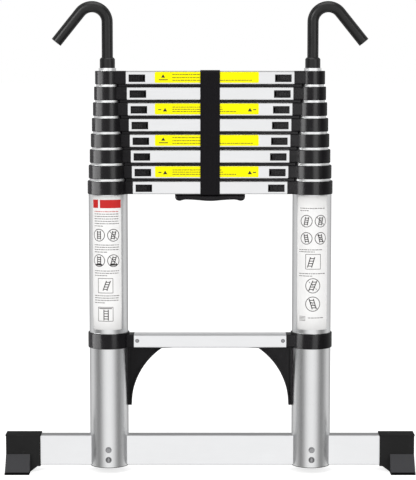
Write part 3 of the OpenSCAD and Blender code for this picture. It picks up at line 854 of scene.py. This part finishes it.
# %% Wrapping stickers
def round_tube(centre_x, radius, angle):
    """Flat (along, up) to a tube at centre_x: along becomes an angle from the front."""

    def wrap(flat, lift):
        turn = angle + flat[:, 0] / radius
        r = radius + lift
        return np.stack([centre_x + r * np.sin(turn), -r * np.cos(turn), flat[:, 1]], 1)

    return wrap


def on_front(face_y):
    """Flat (along, up) to the rung's front face."""

    def wrap(flat, lift):
        return np.stack([flat[:, 0], np.full(len(flat), face_y - lift), flat[:, 1]], 1)

    return wrap


def printed(name, art, wrap, lift, body, inks):
    """Turns flat shapes into one piece, facing outwards, with one material for each ink."""
    points = wrap(np.concatenate(art.points), lift)
    quads = np.concatenate(art.quads)
    corners = points[quads]
    facing = np.cross(corners[:, 1] - corners[:, 0], corners[:, 2] - corners[:, 0])
    inward = facing[:, 1] > 0
    quads[inward] = quads[inward][:, ::-1]
    mesh = bpy.data.meshes.new(name)
    mesh.from_pydata(points, [], quads.tolist())
    mesh.polygons.foreach_set("use_smooth", np.ones(len(quads), bool))
    piece = add_piece(name, mesh, body, inks)
    mesh.polygons.foreach_set("material_index", np.concatenate(art.inks))
    mesh.update()
    return piece


# %% [markdown]
# ## Base tube stickers
# Each base tube has a tall white sticker with rounded corners: a red heading on the left one only,
# then paragraphs, pairs of rings and squares. The places are heights above the floor.

# %% Paragraphs and signs
STICKER_TOP = 541.5 * MM
STICKER_LOW = 283 * MM
FILM = 0.12 * MM  # thickness of the vinyl
INK_TOP = FILM + 0.03 * MM  # height of the print above the metal
GREY, DARK, RED_INK = 0, 1, 2


def paragraph(art, rng, lines, left, width):
    """Lines of words at these heights; the last one is cut short."""
    for index, z in enumerate(lines):
        share = 1.0 if index < len(lines) - 1 else rng.uniform(0.35, 0.7)
        words(art, left * MM, z * MM, width * share * MM, rng, GREY)


def sign(art, x, z, radius, lean, bar_across=False):
    """A ring with a small ladder in it, and a bar across it where asked."""
    art.ring(x * MM, z * MM, radius * MM, 1.3 * MM, DARK)
    ladder_sign(art, x * MM, z * MM, radius * 1.45 * MM, lean * MM, DARK)
    if bar_across:
        reach = radius * 0.7
        t = np.linspace(-1, 1, 7)
        art.line(np.stack([(x + reach * t) * MM, (z - reach * t) * MM], 1), 1.2 * MM, DARK)


# %% Left sticker
def left_art(rng):
    """The left sticker from the top down: heading, text, two pairs of rings and two squares."""
    art = Print()
    art.bar(-28.5 * MM, 526 * MM, 12 * MM, 16 * MM, RED_INK)
    art.bar(-12.5 * MM, 526 * MM, 42 * MM, 16 * MM, RED_INK)
    words(art, -25 * MM, 511.4 * MM, 50 * MM, rng, RED_INK)
    paragraph(art, rng, [506.6, 502, 497.4, 492.8, 488.2, 483.6], -25, 50)
    sign(art, -15, 466, 11.4, 0)
    sign(art, 13.5, 466, 11.4, 4, True)
    paragraph(art, rng, [447.2, 442.8, 438.2, 433.6], -25, 50)
    sign(art, -15, 417, 11.4, 0)
    sign(art, 13.5, 417, 11.4, 5, True)
    for x in (-15, 13.5):
        art.bar((x - 7) * MM, 409 * MM, 14 * MM, 3 * MM, DARK)
    paragraph(art, rng, [397.2, 392.8, 388.2], -25, 50)
    art.box(-2.5 * MM, 368.7 * MM, 29 * MM, 28 * MM, 1.1 * MM, GREY)
    ladder_sign(art, 0, 368.7 * MM, 19 * MM, 7 * MM, DARK)
    paragraph(art, rng, [349.2, 344.8, 340.3, 335.6], -25, 50)
    art.box(-2.5 * MM, 313.5 * MM, 29 * MM, 27 * MM, 1.1 * MM, GREY)
    ladder_sign(art, -1.5 * MM, 312 * MM, 21 * MM, 0, DARK)
    art.bar(-15 * MM, 324.6 * MM, 25 * MM, 1.8 * MM, GREY)
    return art


# %% Right sticker
def right_art(rng):
    """The right sticker: four rings, a square, and two larger rings, with text between them."""
    art = Print()
    paragraph(art, rng, [517.6, 513.2], -25, 50)
    for x in (-12, 16):
        sign(art, x, 493, 11.2, 3, x > 0)
        sign(art, x, 460, 11.2, -3, x > 0)
    paragraph(art, rng, [438, 434], -27, 48)
    art.box(1.5 * MM, 415 * MM, 29 * MM, 28.5 * MM, 1.1 * MM, GREY)
    ladder_sign(art, -2.5 * MM, 414 * MM, 20 * MM, 6 * MM, DARK)
    paragraph(art, rng, [392, 387.4], -27, 54)
    sign(art, 1.2, 368.7, 13.8, 8, True)
    sign(art, 1.2, 333.3, 13.8, -6, True)
    for z in (309, 306.4, 303.8, 301.2):
        art.bar(-26 * MM, z * MM, 13 * MM, 1.0 * MM, GREY)
    words(art, -8 * MM, 306.4 * MM, 30 * MM, rng, GREY)
    return art


# %% Base tube stickers
STICKERS = [
    # side, middle angle, width on the tube, art
    ("left", -2.6, 61.5, left_art),
    ("right", -1.0, 65.0, right_art),
]
for order, (side, angle, width, draw) in enumerate(STICKERS):
    low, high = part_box("base_tube_" + side)
    radius = (high.x - low.x) / 2
    wrap = round_tube((low.x + high.x) / 2, radius, math.radians(angle))
    backing = Print()
    shape = rounded_sheet(width * MM, STICKER_TOP - STICKER_LOW, 4 * MM, 40)
    shape[..., 1] += (STICKER_TOP + STICKER_LOW) / 2
    backing.sheet(shape, 0)
    film = printed("sticker_" + side, backing, wrap, FILM, "root", [PAPER])
    thicken(film, FILM, -1.0)
    art = draw(np.random.default_rng(11 + order))
    inks = [GREY_INK, DARK_INK, RED]
    printed("sticker_print_" + side, art, wrap, INK_TOP, "root", inks)
print(len(STICKERS), "tall stickers from", STICKER_LOW, "to", STICKER_TOP)

# %% [markdown]
# ## Rung stickers
# Every other rung from the third carries a yellow strip across its middle, partly under the strap.
# Two designs alternate: one has a triangle at its left end only, the other one at both ends.

# %% Rung sticker art
def rung_art(rng, top, both_ends):
    """Text bars between the ends, a triangle at one end or both, all as distances below the top."""
    art = Print()
    if both_ends:
        for x, mark in ((-86, -99), (76, 82)):
            triangle(art, x * MM, top - 13.4 * MM, 7 * MM, DARK)
            art.bar(mark * MM, top - 13.4 * MM, 6 * MM, 1.8 * MM, DARK)
        for down, left, right in ((8.6, -72, 22), (12.8, -72, 26), (17, -72, 50)):
            words(art, left * MM, top - down * MM, (right - left) * MM, rng, GREY)
    else:
        triangle(art, -89.5 * MM, top - 9.4 * MM, 6.5 * MM, DARK)
        art.bar(-98 * MM, top - 16.6 * MM, 17.5 * MM, 1.9 * MM, GREY)
        for down, left, right in ((6.8, -72, 14), (12.6, -72, 14), (17.6, -72, 82)):
            words(art, left * MM, top - down * MM, (right - left) * MM, rng, GREY, 1.5 * MM)
    return art


# %% Rung stickers
STRIP_LEFT, STRIP_RIGHT, STRIP_TALL = -105.5 * MM, 93 * MM, 21 * MM
for number in (9, 7, 5, 3):
    low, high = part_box(f"rung_{number}")
    wrap = on_front(low.y)
    backing = Print()
    shape = rounded_sheet(STRIP_RIGHT - STRIP_LEFT, STRIP_TALL, 2.5 * MM, 12)
    top = high.z - 1.6 * MM
    shape[..., 0] += (STRIP_LEFT + STRIP_RIGHT) / 2
    shape[..., 1] += top - STRIP_TALL / 2
    backing.sheet(shape, 0)
    body = f"section_{number}"
    film = printed(f"strip_{number}", backing, wrap, FILM, body, [YELLOW])
    thicken(film, FILM, -1.0)
    art = rung_art(np.random.default_rng(30 + number), high.z, number in (7, 3))
    inks = [BROWN_INK, DARK_INK]
    printed(f"strip_print_{number}", art, wrap, INK_TOP, body, inks)
print("yellow strips on rungs 9, 7, 5 and 3")

# %% [markdown]
# ## Floor
# A wide pale floor, as light as the background, catches only a faint shadow. Some of its
# brightness is its own, so that it stays as white as the sky behind it at every distance.

# %% Floor
def floor_material():
    """Nearly white paint with a very faint unevenness, partly lit by itself."""
    material, tree, shader, coords = new_material("floor", Roughness=0.9, Emission_Strength=0.76)
    shader.inputs["Emission Color"].default_value = (1, 1, 1, 1)
    uneven = add_node(tree, "ShaderNodeTexNoise", Scale=3.0, Detail=2.0)
    tree.links.new(coords, uneven.inputs["Vector"])
    low_grey, high_grey = (0.60, 0.60, 0.60), (0.63, 0.63, 0.63)
    mix_colour(tree, uneven.outputs["Fac"], low_grey, high_grey, shader.inputs["Base Color"])
    return material


reach = np.linspace(-40, 40, 9)
floor_grid = np.stack(np.broadcast_arrays(reach[:, None], reach[None], 0.0), -1)[:, ::-1]
floor_mesh = grid_mesh("floor", floor_grid)
floor = bpy.data.objects.new("floor", floor_mesh)
bpy.context.scene.collection.objects.link(floor)
floor_mesh.materials.append(floor_material())
floor.visible_glossy = False
floor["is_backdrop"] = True
print("floor", len(floor_mesh.polygons), "faces")

# %% [markdown]
# Now that every piece exists, the lamps get their lists: the strips light only black nylon, and
# the other lamps light all that isn't bare metal.

# %% Light linking
BLACK = {NYLON}
BARE = {TUBE, RUNG, STEEL}
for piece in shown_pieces() + [floor]:
    used = set(piece.data.materials)
    for receivers, only_black in lamps.values():
        if used & BLACK if only_black else not used & BARE:
            receivers.objects.link(piece)
